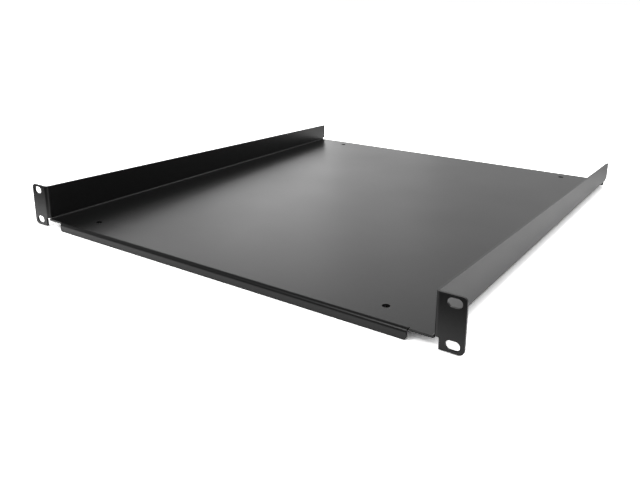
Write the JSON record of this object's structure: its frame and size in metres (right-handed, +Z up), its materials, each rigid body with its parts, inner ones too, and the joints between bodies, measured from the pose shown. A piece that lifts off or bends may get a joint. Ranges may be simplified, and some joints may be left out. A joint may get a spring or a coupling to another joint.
{
  "type": "cantilever rack shelf",
  "caption": "Black powder-coated steel shelf for a 19 inch rack, one folded sheet with tapering side walls, slotted front ears and folded-down front and rear lips.",
  "frame": {"origin": "midway between the four ear slots, on the ears' rear faces, which meet the rack's rails", "axes": "+X to the shelf's right as its user faces the rack, +Y towards the back of the rack, +Z up"},
  "size_m": [0.4826, 0.5092, 0.0436],
  "materials": {
    "powder_coat": "satin black, fine texture"
  },
  "bodies": {
    "root": {"shelf_pan": "powder_coat"}
  },
  "joints": []
}
